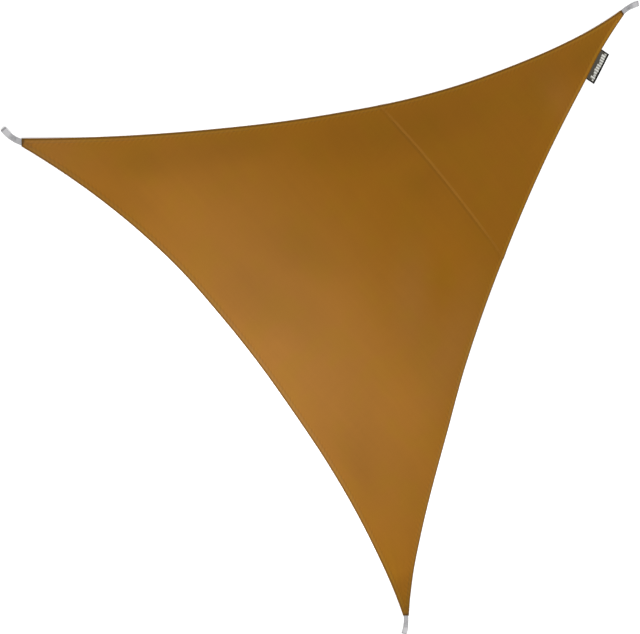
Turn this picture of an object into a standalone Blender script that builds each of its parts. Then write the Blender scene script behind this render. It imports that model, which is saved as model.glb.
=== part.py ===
"""A triangular shade sail: two hemmed cloth panels, three webbing loops and a woven tag.

The sail lies spread out on a flat surface at z = 0. Its left-to-right chord runs along +X, and its foot
corner points to -Y. The origin is on the surface, under the middle of the box round the whole sail.
Lengths are in metres unless a name ends in _MM, and headings are in degrees from +X towards +Y.
"""

from collections import namedtuple
from math import atan2, cos, degrees, pi, radians, sin, sqrt

import bmesh
import bpy
import numpy as np

# The triangle, and where its centre lies from the origin
SIDE = 3.0
CENTRE_X = -0.0022
CENTRE_Y = 0.4373

# Cloth and webbing
CLOTH_THICK = 0.0010
HEM_THICK = 0.0018
HEM_WIDE = 0.022
HEM_STEP = 0.004
WEB_THICK = 0.0014
WEB_WIDE = 0.024
PIECE_GAP = 0.0003

# The grid of a panel: its cell, the corner panel's columns, the most of a row that one hem band may take
# where the rows grow short, and the last place along the panel where the bands are measured
CELL = 0.080
CORNER_COLUMNS = 9
BAND_SHARE = 0.15
LAST_MEASURED = 0.98

# How finely lines are drawn: points along an edge, a stretch of one and the seam, the step that a slope
# is read over as a share of a line, and the least length that is divided by
EDGE_POINTS = 241
STRETCH_POINTS = 121
SEAM_POINTS = 61
SLOPE_STEP = 0.01
TINY = 1e-9

# The seam runs from the top edge to the right edge, at these shares of the edges' length, and bows a
# little towards the right corner
SEAM_ON_TOP = 0.552
SEAM_ON_RIGHT = 0.428
SEAM_BOW = 0.018
SEAM_LAP = 0.015
LAP_CLEAR = 0.002
LAP_RAMP = 0.026
LAP_LIFT = HEM_THICK + PIECE_GAP

# A strap: a loop of webbing whose two tails lie flat under the cloth. Outside the cloth the plies stay
# sewn together up to one share of its reach, and stand apart, round the eye, from another
TAIL = 0.060
FOLD_RADIUS = 0.0036
SEWN_SHARE = 0.50
OPEN_SHARE = 0.67
TAILS_THICK = 2 * WEB_THICK + PIECE_GAP
CORNER_LIFT = TAILS_THICK + PIECE_GAP
LIFT_FLAT = 0.13
LIFT_END = 0.32

# The points of a strap's plan, and the steps of its loop: along the lower ply, round the fold, back over
# the eye from a share of its length, down to the sewn stretch, and along that to the cloth
PLAN_POINTS = 60
LOWER_STEPS = 9
FOLD_STEPS = 5
UPPER_STEPS = 2
UPPER_FROM = 0.97
DOWN_STEPS = 6
SEWN_STEPS = 4

# The tag, tucked under the hem of the right edge
TAG_ON_RIGHT = 0.1103
TAG_LONG = 0.156
TAG_REACH = 0.054
TAG_TUCK = 0.012
TAG_THICK = 0.0010
TAG_LIFT = 0.0015
TAG_CLEAR = 0.015
TAG_RAMP = 0.080

# Each corner: its heading from the centre, how the cloth's tip is cut off, and the strap's headings where
# it leaves the cloth and at its end, with its length between them
Corner = namedtuple("Corner", "heading cut_back tip_wide tip_heading strap_from strap_to strap_reach")
CORNERS = {
    "left": Corner(150, 0.002, 0.034, 80, 150, 118, 0.102),
    "right": Corner(30.2, 0.006, 0.027, 120, 28, 4, 0.095),
    "foot": Corner(-90.16, 0.003, 0.029, -17, -92, -120, 0.087),
}

# How far each edge is drawn in from the chord between its tips, at shares of the chord
Inset = namedtuple("Inset", "share top_mm left_mm right_mm")
INSETS = [
    Inset(0.00, 0, 0, 0),
    Inset(0.06, 35, 58, 50),
    Inset(0.12, 67, 107, 79),
    Inset(0.20, 103, 158, 117),
    Inset(0.30, 140, 199, 151),
    Inset(0.40, 169, 213, 170),
    Inset(0.50, 186, 213, 180),
    Inset(0.60, 193, 198, 171),
    Inset(0.70, 180, 175, 143),
    Inset(0.80, 145, 137, 115),
    Inset(0.88, 104, 93, 85),
    Inset(0.94, 61, 52, 53),
    Inset(1.00, 0, 0, 0),
]

# Low swells where the cloth stands off the surface: place from the centre, heading and sizes
Swell = namedtuple("Swell", "x y heading half_long half_wide height_mm")
SWELLS = [
    Swell(-0.92, 0.62, -20, 0.42, 0.17, 4.0),
    Swell(-0.30, -0.80, -68, 0.55, 0.16, 4.0),
    Swell(0.02, -1.22, -88, 0.42, 0.16, 5.0),
    Swell(0.52, -0.35, 62, 0.50, 0.17, 5.0),
    Swell(0.30, 0.42, 12, 0.55, 0.18, 4.0),
    Swell(0.98, 0.45, 35, 0.40, 0.16, 4.0),
    Swell(-0.50, 0.05, -48, 0.50, 0.18, 3.0),
]

COLOURS = {
    "cloth": ((0.271, 0.115, 0.021, 1.0), 0.62),
    "webbing": ((0.42, 0.42, 0.43, 1.0), 0.70),
    "tag": ((0.020, 0.020, 0.022, 1.0), 0.55),
}


def material(name):
    """A plain finish: a colour and a roughness."""
    colour, roughness = COLOURS[name]
    made = bpy.data.materials.new(name)
    made.use_nodes = True
    shader = made.node_tree.nodes["Principled BSDF"]
    shader.inputs["Base Color"].default_value = colour
    shader.inputs["Roughness"].default_value = roughness
    shader.inputs["Metallic"].default_value = 0.0
    return made


def way(heading):
    """The unit vector of a heading."""
    return np.array([cos(radians(heading)), sin(radians(heading))])


def place(corner):
    """The middle of a corner's cut tip, from the triangle's centre."""
    return way(corner.heading) * (SIDE / sqrt(3) - corner.cut_back)


def step_down(distance, flat, end):
    """1 up to the distance flat, then a smooth fall to 0 at the distance end."""
    share = np.clip((end - distance) / (end - flat), 0.0, 1.0)
    return share * share * (3 - 2 * share)


def smooth_curve(knots, values, at):
    """A cubic through values at uneven knots, with the slope at a knot taken from its neighbours."""
    gaps = np.diff(knots)
    rises = np.diff(values) / gaps
    slopes = np.empty(len(knots))
    slopes[1:-1] = (rises[:-1] * gaps[1:] + rises[1:] * gaps[:-1]) / (gaps[1:] + gaps[:-1])
    slopes[0] = 2 * rises[0] - slopes[1]
    slopes[-1] = 2 * rises[-1] - slopes[-2]
    piece = np.clip(np.searchsorted(knots, at) - 1, 0, len(gaps) - 1)
    span = gaps[piece]
    share = (at - knots[piece]) / span
    square, cube = share ** 2, share ** 3
    return (
        (2 * cube - 3 * square + 1) * values[piece]
        + (cube - 2 * square + share) * span * slopes[piece]
        + (3 * square - 2 * cube) * values[piece + 1]
        + (cube - square) * span * slopes[piece + 1]
    )


def edge_between(first, last, column):
    """One edge of the sail: the chord between two tips, drawn in towards the centre by the table."""
    knots = np.array([row.share for row in INSETS])
    insets = np.array([getattr(row, column) for row in INSETS]) / 1000
    share = np.linspace(0.0, 1.0, EDGE_POINTS)
    along = last - first
    inward = np.array([-along[1], along[0]]) / np.hypot(*along)
    inward *= -np.sign(inward @ (first + last))
    return first + share[:, None] * along + smooth_curve(knots, insets, share)[:, None] * inward


def crossing(point_a, heading_a, point_b, heading_b):
    """The point where two lines meet, each given by a point and a direction."""
    shares = np.linalg.solve(np.array([heading_a, -heading_b]).T, point_b - point_a)
    return point_a + shares[0] * heading_a


def sail_edges():
    """The three edges, each run on past its cut tips to the point where it meets its neighbour."""
    half = {name: way(c.tip_heading) * c.tip_wide / 2 for name, c in CORNERS.items()}
    left, right, foot = (place(CORNERS[name]) for name in ("left", "right", "foot"))
    top_edge = edge_between(left + half["left"], right + half["right"], "top_mm")
    left_edge = edge_between(left - half["left"], foot - half["foot"], "left_mm")
    right_edge = edge_between(right - half["right"], foot + half["foot"], "right_mm")

    def point_of(edge_a, end_a, edge_b, end_b):
        a, b = edge_a[::-1] if end_a else edge_a, edge_b[::-1] if end_b else edge_b
        return crossing(a[0], a[1] - a[0], b[0], b[1] - b[0])

    left_point = point_of(top_edge, 0, left_edge, 0)
    right_point = point_of(top_edge, 1, right_edge, 0)
    foot_point = point_of(left_edge, 1, right_edge, 1)
    return {
        "top": np.vstack([left_point, top_edge, right_point]),
        "left": np.vstack([left_point, left_edge, foot_point]),
        "right": np.vstack([right_point, right_edge, foot_point]),
    }


def lengths(line):
    """The distance along a line of points, from its first point to each."""
    return np.concatenate([[0.0], np.cumsum(np.hypot(*np.diff(line, axis=0).T))])


def on_line(line, shares):
    """Points at shares of a line's length, for an array of shares of any shape."""
    far = lengths(line)
    at = np.asarray(shares) * far[-1]
    return np.stack([np.interp(at, far, line[:, axis]) for axis in (0, 1)], axis=-1)


def stretch(line, start, end):
    """The part of a line between two shares of its length."""
    return on_line(line, np.linspace(start, end, STRETCH_POINTS))


def seam_ends(edges, offset):
    """Where a line beside the seam, that far towards the right corner, meets the top and right edges."""
    ends = []
    for name, share, towards_right in (("top", SEAM_ON_TOP, 1), ("right", SEAM_ON_RIGHT, -1)):
        line = edges[name]
        before, after = on_line(line, [share - SLOPE_STEP, share + SLOPE_STEP])
        along = (after - before) / np.hypot(*(after - before))
        seam = on_line(edges["right"], SEAM_ON_RIGHT) - on_line(edges["top"], SEAM_ON_TOP)
        slant = abs(along[0] * seam[1] - along[1] * seam[0]) / np.hypot(*seam)
        ends.append(share + towards_right * offset / slant / lengths(line)[-1])
    return ends


def seam_line(edges, offset):
    """The seam, or a line beside it, from the top edge to the right edge, bowed towards the right corner."""
    on_top, on_right = seam_ends(edges, offset)
    first, last = on_line(edges["top"], on_top), on_line(edges["right"], on_right)
    share = np.linspace(0.0, 1.0, SEAM_POINTS)[:, None]
    along = last - first
    sideways = np.array([-along[1], along[0]]) / np.hypot(*along)
    return first + share * along + SEAM_BOW * 4 * share * (1 - share) * sideways


def patch_point(sides, u, v):
    """A point of the surface spanned by four border lines (a Coons patch), near and far at v 0 and 1."""
    near, far, start, end = (sides[name] for name in ("near", "far", "start", "end"))
    u_, v_ = u[..., None], v[..., None]
    ruled = (1 - v_) * on_line(near, u) + v_ * on_line(far, u)
    ruled += (1 - u_) * on_line(start, v) + u_ * on_line(end, v)
    corners = (1 - u_) * (1 - v_) * near[0] + u_ * (1 - v_) * near[-1]
    corners += (1 - u_) * v_ * far[0] + u_ * v_ * far[-1]
    return ruled - corners


def share_per_metre(sides, side, along):
    """How much u or v changes for a metre walked squarely in from one side of a patch."""
    level = np.full_like(along, 1.0 if side in ("far", "end") else 0.0)
    inner = level + SLOPE_STEP * (1 - 2 * level)
    beside = along + np.where(along > 0.5, -SLOPE_STEP, SLOPE_STEP)

    def point(walked, depth):
        u, v = (walked, depth) if side in ("near", "far") else (depth, walked)
        return patch_point(sides, u, v)

    here = point(along, level)
    away = point(along, inner) - here
    border = point(beside, level) - here
    border /= np.maximum(np.hypot(border[..., 0], border[..., 1]), TINY)[..., None]
    square = np.abs(away[..., 0] * border[..., 1] - away[..., 1] * border[..., 0])
    return SLOPE_STEP / np.maximum(square, TINY)


def bands(per_metre_low, per_metre_high, low, high, cells, size):
    """Shares across a patch: the low side's bands, even cells, then the high side's bands."""
    low = [np.minimum(d * per_metre_low, BAND_SHARE * k) for k, d in enumerate((0.0, *low))]
    high = [1 - np.minimum(d * per_metre_high, BAND_SHARE * k) for k, d in enumerate((0.0, *high))][::-1]
    inner = [low[-1] + (high[0] - low[-1]) * k / cells for k in range(1, cells)]
    return np.stack([part + np.zeros(size) for part in (*low, *inner, *high)])


def panel_grid(sides, edge_bands, cells_u, cells_v):
    """The plan of a panel as a grid of points, rows by columns, with lines along its hems and laps."""
    rows = cells_v + len(edge_bands["near"]) + len(edge_bands["far"]) + 1
    v_rough = np.linspace(0.0, LAST_MEASURED, rows)
    u = bands(
        share_per_metre(sides, "start", v_rough), share_per_metre(sides, "end", v_rough),
        edge_bands["start"], edge_bands["end"], cells_u, rows,
    ).T
    columns = u.shape[1]
    u_middle = u[rows // 2]
    v = bands(
        share_per_metre(sides, "near", u_middle), share_per_metre(sides, "far", u_middle),
        edge_bands["near"], edge_bands["far"], cells_v, columns,
    )
    return patch_point(sides, u, v)


def beside_tag(edges, plan):
    """Distances along the right edge from the tag's middle, and in from the edge."""
    middle, along, outward = tag_place(edges)
    away = plan - middle
    return away @ along, -(away @ outward)


def underside(edges, plan):
    """How high the cloth's underside lies over the straps' tails, the tag and the swells."""
    lift = np.zeros(plan.shape[:-1])
    for corner in CORNERS.values():
        away = np.hypot(*np.moveaxis(plan - place(corner), -1, 0))
        lift = np.maximum(lift, CORNER_LIFT * step_down(away, LIFT_FLAT, LIFT_END))
    along, inward = beside_tag(edges, plan)
    near_tag = step_down(np.abs(along), TAG_LONG / 2 + TAG_CLEAR, TAG_LONG / 2 + TAG_CLEAR + TAG_RAMP)
    near_tag *= step_down(inward, TAG_TUCK + TAG_CLEAR, TAG_TUCK + TAG_CLEAR + TAG_RAMP)
    lift = np.maximum(lift, TAG_LIFT * near_tag)
    for swell in SWELLS:
        away = plan - np.array([swell.x, swell.y])
        long = away @ way(swell.heading) / swell.half_long
        wide = away @ way(swell.heading + 90) / swell.half_wide
        lift += swell.height_mm / 1000 * np.clip(1 - long ** 2 - wide ** 2, 0.0, None) ** 2
    return lift


def grid_mesh(points):
    """An open sheet of quads through an array of points, rows by columns."""
    rows, columns = points.shape[:2]
    sheet = bmesh.new()
    bmesh.ops.create_grid(sheet, x_segments=columns - 1, y_segments=rows - 1, size=1.0)
    for vert in sheet.verts:
        column = round((vert.co.x + 1) / 2 * (columns - 1))
        row = round((vert.co.y + 1) / 2 * (rows - 1))
        vert.co = points[row, column]
    bmesh.ops.recalc_face_normals(sheet, faces=sheet.faces)
    if sum(face.normal.z for face in sheet.faces) < 0:
        bmesh.ops.reverse_faces(sheet, faces=sheet.faces)
    return sheet


def finish_piece(name, sheet, finish, collection):
    """Turn a bmesh into an object of the sail, moved from the triangle's centre to the origin."""
    bmesh.ops.translate(sheet, verts=sheet.verts, vec=(CENTRE_X, CENTRE_Y, 0.0))
    mesh = bpy.data.meshes.new(name)
    sheet.to_mesh(mesh)
    sheet.free()
    mesh.materials.append(finish)
    piece = bpy.data.objects.new(name, mesh)
    collection.objects.link(piece)
    return piece


def thicken(piece, thickness, offset):
    """Give an open sheet its thickness: above it with offset 1, or to both sides with 0."""
    solid = piece.modifiers.new("Thickness", "SOLIDIFY")
    solid.thickness = thickness
    solid.offset = offset
    solid.use_even_offset = True
    return solid


def cut_tip(sheet, corner):
    """Cut off the cloth's point squarely across, where the strap comes out."""
    across = way(corner.tip_heading)
    outward = np.array([across[1], -across[0]])
    outward *= np.sign(outward @ place(corner))
    bmesh.ops.bisect_plane(
        sheet, geom=sheet.verts[:] + sheet.edges[:] + sheet.faces[:],
        plane_co=(*place(corner), 0.0), plane_no=(*outward, 0.0), clear_outer=True,
    )


def cloth_panel(name, edges, sides, edge_bands, cells, corners, hems, lap_lift, finish, collection):
    """One panel: its plan, laid over what is under it, with thicker hems along its outer edges."""
    plan = panel_grid(sides, edge_bands, *cells)
    height = underside(edges, plan) + lap_lift(plan)
    sheet = grid_mesh(np.concatenate([plan, height[..., None]], axis=-1))
    for corner in corners:
        cut_tip(sheet, CORNERS[corner])
    piece = finish_piece(name, sheet, finish, collection)
    centre = np.array([CENTRE_X, CENTRE_Y])
    hem = piece.vertex_groups.new(name="hem")
    for vert in piece.data.vertices:
        point = np.array(vert.co[:2]) - centre
        if min(distance_to(edges[edge], point) for edge in hems) < HEM_WIDE + HEM_STEP / 2:
            hem.add([vert.index], 1.0, "REPLACE")
    solid = thicken(piece, HEM_THICK, 1.0)
    solid.vertex_group = "hem"
    solid.thickness_vertex_group = CLOTH_THICK / HEM_THICK
    return piece


def distance_to(line, point):
    """The distance from a point to a line of points."""
    starts, spans = line[:-1], np.diff(line, axis=0)
    share = np.clip(((point - starts) * spans).sum(1) / (spans ** 2).sum(1), 0.0, 1.0)
    return np.hypot(*(starts + share[:, None] * spans - point).T).min()


def panel_main(edges, finish, collection):
    """The big panel: the left edge, parts of the other two, and the edge that lies under the seam."""
    on_top, on_right = seam_ends(edges, SEAM_LAP)
    sides = {
        "near": edges["left"],
        "start": stretch(edges["top"], 0.0, on_top),
        "end": stretch(edges["right"], 1.0, on_right),
        "far": seam_line(edges, SEAM_LAP),
    }
    hem = (HEM_WIDE, HEM_WIDE + HEM_STEP)
    edge_bands = {"near": hem, "start": hem, "end": hem, "far": ()}
    cells = (round(lengths(edges["left"])[-1] / CELL), round(SIDE / 2 / CELL))
    return cloth_panel(
        "panel_main", edges, sides, edge_bands, cells, ("left", "foot"), ("left", "top", "right"),
        lambda plan: 0.0, finish, collection,
    )


def panel_corner(edges, finish, collection):
    """The right-hand corner panel, lapped over the big one along the seam."""
    seam = seam_line(edges, 0.0)
    sides = {
        "near": seam,
        "start": stretch(edges["top"], SEAM_ON_TOP, 1.0),
        "end": stretch(edges["right"], SEAM_ON_RIGHT, 0.0),
        "far": np.stack([edges["top"][-1]] * 2),
    }
    lap_flat = SEAM_LAP + LAP_CLEAR
    hem = (HEM_WIDE, HEM_WIDE + HEM_STEP)
    edge_bands = {"near": (lap_flat, lap_flat + LAP_RAMP), "start": hem, "end": hem, "far": ()}
    cells = (CORNER_COLUMNS, round(lengths(sides["start"])[-1] / CELL))

    def lap_lift(plan):
        away = np.array([distance_to(seam, point) for point in plan.reshape(-1, 2)])
        return LAP_LIFT * step_down(away.reshape(plan.shape[:-1]), lap_flat, lap_flat + LAP_RAMP)

    return cloth_panel(
        "panel_corner", edges, sides, edge_bands, cells, ("right",), ("top", "right"),
        lap_lift, finish, collection,
    )


def strap_plan(corner, walked):
    """Place and heading on the strap's plan: straight under the cloth, then a slow bend outside it."""
    steps = np.linspace(0.0, corner.strap_reach, PLAN_POINTS)
    headings = corner.strap_from + (corner.strap_to - corner.strap_from) * steps / corner.strap_reach
    ways = np.array([way(heading) for heading in headings])
    joined = np.vstack([[0.0, 0.0], np.cumsum((ways[1:] + ways[:-1]) / 2 * steps[1], axis=0)])
    outside = np.stack([np.interp(walked, steps, joined[:, axis]) for axis in (0, 1)], axis=-1)
    inside = np.minimum(walked, 0.0)[:, None] * ways[0]
    heading = np.interp(walked, steps, headings)
    return place(corner) + outside + inside, heading


def strap_profile(reach):
    """The loop seen from its side: distances out from the cloth's tip, and heights, tail to tail."""
    low = WEB_THICK / 2
    tail_high = low + WEB_THICK + PIECE_GAP
    turn = reach - FOLD_RADIUS - WEB_THICK / 2
    out = [(walked, low) for walked in (-TAIL, *np.linspace(0.0, turn, LOWER_STEPS + 1))]
    angles = pi * np.arange(1, FOLD_STEPS) / FOLD_STEPS
    fold = [(turn + FOLD_RADIUS * sin(angle), low + FOLD_RADIUS * (1 - cos(angle))) for angle in angles]
    sewn, opened = SEWN_SHARE * reach, OPEN_SHARE * reach
    upper = np.linspace(UPPER_FROM * turn, opened, UPPER_STEPS + 1)
    down = np.linspace(opened, sewn, DOWN_STEPS + 1)[1:]
    under = np.linspace(sewn, 0.0, SEWN_STEPS + 1)[1:]
    back = []
    for walked in (turn, *upper, *down, *under, -TAIL):
        rise = 1 - step_down(walked, sewn, opened)
        back.append((walked, tail_high + (low + 2 * FOLD_RADIUS - tail_high) * rise))
    return np.array(out + fold + back)


def strap(name, corner, finish, collection):
    """A loop of flat webbing, folded double, with its eye open from side to side."""
    profile = strap_profile(corner.strap_reach)
    middle, heading = strap_plan(corner, profile[:, 0])
    sideways = np.array([way(angle + 90) for angle in heading])
    rows = []
    for side in (-WEB_WIDE / 2, WEB_WIDE / 2):
        rows.append(np.concatenate([middle + side * sideways, profile[:, 1:]], axis=-1))
    piece = finish_piece(name, grid_mesh(np.array(rows)), finish, collection)
    thicken(piece, WEB_THICK, 0.0)
    return piece


def tag_place(edges):
    """The tag's middle on the right edge, and its ways along the edge, towards the foot, and outward."""
    half = TAG_LONG / 2 / lengths(edges["right"])[-1]
    before, middle, after = on_line(edges["right"], TAG_ON_RIGHT + np.array([-half, 0.0, half]))
    heading = degrees(atan2(*(after - before)[::-1]))
    return middle, way(heading), way(heading + 90)


def tag(edges, finish, collection):
    """A small woven tag, lying flat, with one long side tucked under the hem."""
    middle, along, outward = tag_place(edges)
    rows = []
    for side in (-TAG_LONG / 2, TAG_LONG / 2):
        ends = (middle + side * along + out * outward for out in (-TAG_TUCK, TAG_REACH))
        rows.append([np.append(end, 0.0) for end in ends])
    piece = finish_piece("tag", grid_mesh(np.array(rows)), finish, collection)
    thicken(piece, TAG_THICK, 1.0)
    return piece


def build():
    """Clear the scene and make the whole sail."""
    for old in list(bpy.data.objects):
        bpy.data.objects.remove(old, do_unlink=True)
    collection = bpy.data.collections.new("shade_sail")
    bpy.context.scene.collection.children.link(collection)
    finishes = {name: material(name) for name in COLOURS}
    edges = sail_edges()
    panel_main(edges, finishes["cloth"], collection)
    panel_corner(edges, finishes["cloth"], collection)
    for name, corner in CORNERS.items():
        strap(f"strap_{name}", corner, finishes["webbing"], collection)
    tag(edges, finishes["tag"], collection)


build()
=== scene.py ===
import bmesh
import bpy
import numpy as np
from mathutils import Matrix, Vector


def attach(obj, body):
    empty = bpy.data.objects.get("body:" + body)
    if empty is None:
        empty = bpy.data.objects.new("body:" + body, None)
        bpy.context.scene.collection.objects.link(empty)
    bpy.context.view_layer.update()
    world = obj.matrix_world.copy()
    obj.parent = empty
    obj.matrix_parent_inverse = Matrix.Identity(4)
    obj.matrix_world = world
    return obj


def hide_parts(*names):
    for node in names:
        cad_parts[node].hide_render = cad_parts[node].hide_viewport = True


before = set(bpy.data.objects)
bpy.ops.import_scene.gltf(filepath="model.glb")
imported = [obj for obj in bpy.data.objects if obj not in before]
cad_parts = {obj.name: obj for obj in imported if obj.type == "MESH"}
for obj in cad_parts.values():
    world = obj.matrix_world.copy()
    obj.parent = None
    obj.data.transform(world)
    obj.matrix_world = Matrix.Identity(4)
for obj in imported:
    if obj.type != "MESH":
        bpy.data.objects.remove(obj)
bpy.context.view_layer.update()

# ------------------------------------------------------------------------------------ The big panel
# One width of ochre-brown coated polyester, plain woven, cut with drawn-in edges so that it pulls taut.
# Its hems are turned under and sewn down. It carries the left and foot corners, and its long straight
# side lies under the seam.

SIDE = 3.0                                  # from corner to corner of the sail
CENTRE = np.array([-0.0022, 0.4373])        # the middle of the triangle, from the origin
CLOTH_THICK = 0.0006
HEM_THICK = 0.0015
HEM_WIDE = 0.022
HEM_ROLL = 0.0016                           # its rounded outer edge
HEM_LEAST = 0.25                            # its thickness at the very edge, as a share
HEM_STEP = (HEM_WIDE - 0.0010, HEM_WIDE + 0.0012)               # where it steps down to one layer
SEAM_LAP = 0.015
LAP_CLEAR = 0.0001
LAP_RAMP = (SEAM_LAP + 0.002, SEAM_LAP + 0.028)                 # where the upper panel comes down again
WEB_THICK = 0.0014
PIECE_GAP = 0.0003

# Each tip of the cloth: its heading from the centre, how far it is cut back, the cut's width and heading,
# and how much shorter than that the sewn tip ends
TIPS = {
    "left": {"heading": 150, "cut_back": 0.002, "wide": 0.034, "cut": 80, "short": 0.0},
    "right": {"heading": 30.2, "cut_back": 0.006, "wide": 0.027, "cut": 120, "short": 0.0},
    "foot": {"heading": -90.16, "cut_back": 0.003, "wide": 0.029, "cut": -17, "short": 0.0035},
}

# How far each edge is drawn in from the straight line between its tips, at shares of that line
DRAWN_IN_AT = np.array([0.00, 0.06, 0.12, 0.20, 0.30, 0.40, 0.50, 0.60, 0.70, 0.80, 0.88, 0.94, 1.00])
DRAWN_IN_MM = {
    "top": [0, 35, 67, 103, 140, 169, 186, 193, 180, 145, 104, 61, 0],
    "left": [0, 58, 107, 158, 199, 213, 213, 198, 175, 137, 93, 52, 0],
    "right": [0, 50, 79, 117, 151, 170, 180, 171, 143, 115, 85, 53, 0],
}

SEAM_ON_TOP = 0.552                         # shares of the top and right edges where the seam meets them
SEAM_ON_RIGHT = 0.428
SEAM_BOW = 0.018                            # towards the right corner

EDGE_POINTS = 97
SEAM_POINTS = 61
PART_POINTS = 121
LINE_STEP_MOST = 0.03                       # of a panel, where its borders run together
THICKNESS_STEPS = 40

# Low swells of the cloth: place from the centre, heading, half length, half width and height
SWELLS = [
    {"at": (-0.92, 0.62), "heading": -20, "long": 0.42, "wide": 0.17, "high": 0.004},
    {"at": (-0.30, -0.80), "heading": -68, "long": 0.55, "wide": 0.16, "high": 0.004},
    {"at": (0.02, -1.22), "heading": -88, "long": 0.42, "wide": 0.16, "high": 0.005},
    {"at": (0.52, -0.35), "heading": 62, "long": 0.50, "wide": 0.17, "high": 0.005},
    {"at": (0.30, 0.42), "heading": 12, "long": 0.55, "wide": 0.18, "high": 0.004},
    {"at": (0.98, 0.45), "heading": 35, "long": 0.40, "wide": 0.16, "high": 0.004},
    {"at": (-0.50, 0.05), "heading": -48, "long": 0.50, "wide": 0.18, "high": 0.003},
]

TIP_LIFT = 2 * WEB_THICK + 2 * PIECE_GAP    # the cloth's height over a strap's two tails
TIP_RAMP = (0.13, 0.32)                     # where it comes down, from the tip
TAG_LIFT = 0.0015                           # its height over the tag's tucked side
TAG_ON_RIGHT = 0.1103
TAG_LONG = 0.156
TAG_REACH = 0.052
TAG_TUCK = 0.012
TAG_RAMP = (0.015, 0.095)                   # where it comes down, from the tag's sides

# The fans of fine ridges that run out of the tips: how many to a full turn, and their height. They
# swell and die away at these distances from the tip, and a broader wave runs through them
FANS = {
    "left": {"ridges": 38, "high": 0.00030},
    "right": {"ridges": 44, "high": 0.00025},
    "foot": {"ridges": 46, "high": 0.00055},
}
FAN_SWELLS = (0.02, 0.14)
FAN_FADES = (0.16, 0.60)
BROAD_WAVE = {"count": 0.57, "shift": 1.3, "high": 0.5}         # against the finer ridges


def way(heading):
    """The unit vectors of headings in degrees, from +X towards +Y."""
    angle = np.radians(heading)
    return np.stack([np.cos(angle), np.sin(angle)], axis=-1)


def smooth(value, low, high):
    """0 below low and 1 above high, with a smooth S between them (3t^2 - 2t^3)."""
    share = np.clip((value - low) / (high - low), 0.0, 1.0)
    return share * share * (3 - 2 * share)


def cubic(knots, values, at):
    """A cubic through values at uneven knots. A knot's slope is the weighted mean of its neighbours'."""
    gaps = np.diff(knots)
    rises = np.diff(values) / gaps
    slopes = np.empty(len(knots))
    slopes[1:-1] = (rises[:-1] * gaps[1:] + rises[1:] * gaps[:-1]) / (gaps[1:] + gaps[:-1])
    slopes[0] = 2 * rises[0] - slopes[1]
    slopes[-1] = 2 * rises[-1] - slopes[-2]
    piece = np.clip(np.searchsorted(knots, at) - 1, 0, len(gaps) - 1)
    span = gaps[piece]
    t = (at - knots[piece]) / span
    return (
        (2 * t ** 3 - 3 * t ** 2 + 1) * values[piece] + (t ** 3 - 2 * t ** 2 + t) * span * slopes[piece]
        + (3 * t ** 2 - 2 * t ** 3) * values[piece + 1] + (t ** 3 - t ** 2) * span * slopes[piece + 1]
    )


def tip_place(tip, short=0.0):
    """The middle of a tip's cut, or of a cut that much nearer to the centre."""
    return CENTRE + way(tip["heading"]) * (SIDE / np.sqrt(3) - tip["cut_back"] - short)


def drawn_in(first, last, edge):
    """One edge as a line of points: the chord between two tips plus the table's inset, inwards."""
    share = np.linspace(0.0, 1.0, EDGE_POINTS)
    along = last - first
    inward = np.array([-along[1], along[0]]) / np.hypot(*along)
    inward *= np.sign(inward @ (CENTRE - first))
    inset = cubic(DRAWN_IN_AT, np.array(DRAWN_IN_MM[edge]) / 1000, share)
    return first + share[:, None] * along + inset[:, None] * inward


def meet(line_a, line_b):
    """The point where two lines meet when both are run on straight past their first points."""
    step_a, step_b = line_a[1] - line_a[0], line_b[1] - line_b[0]
    shares = np.linalg.solve(np.stack([step_a, -step_b], axis=1), line_b[0] - line_a[0])
    return line_a[0] + shares[0] * step_a


def sail_edges():
    """The three edges, each run on past its cut tips to its neighbours."""
    side = {name: way(tip["cut"]) * tip["wide"] / 2 for name, tip in TIPS.items()}
    left, right, foot = (tip_place(TIPS[name]) for name in ("left", "right", "foot"))
    top = drawn_in(left + side["left"], right + side["right"], "top")
    long = drawn_in(left - side["left"], foot - side["foot"], "left")
    short = drawn_in(right - side["right"], foot + side["foot"], "right")
    at_left, at_right, at_foot = meet(top, long), meet(top[::-1], short), meet(long[::-1], short[::-1])
    return {
        "top": np.vstack([at_left, top, at_right]),
        "left": np.vstack([at_left, long, at_foot]),
        "right": np.vstack([at_right, short, at_foot]),
    }


def walked(line):
    """How far each point of a line is from its start, along the line."""
    return np.concatenate([[0.0], np.cumsum(np.linalg.norm(np.diff(line, axis=0), axis=1))])


def along_line(line, distance):
    """The points of a line at distances from its start, by linear steps between its points."""
    far = walked(line)
    return np.stack([np.interp(distance, far, line[:, axis]) for axis in range(line.shape[1])], axis=-1)


def at_share(line, share):
    """The points of a line at shares of its length."""
    return along_line(line, np.asarray(share) * walked(line)[-1])


def beside(line, plan):
    """For points of the plan: how far the nearest point of a line is, and how far along it that lies."""
    starts, spans = line[:-1], np.diff(line, axis=0)
    away = plan[..., None, :] - starts
    share = np.clip((away * spans).sum(-1) / (spans ** 2).sum(-1), 0.0, 1.0)
    apart = np.linalg.norm(away - share[..., None] * spans, axis=-1)
    nearest = apart.argmin(axis=-1)
    apart = np.take_along_axis(apart, nearest[..., None], -1)[..., 0]
    share = np.take_along_axis(share, nearest[..., None], -1)[..., 0]
    return apart, walked(line)[nearest] + share * np.linalg.norm(spans, axis=1)[nearest]


EDGES = sail_edges()


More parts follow.
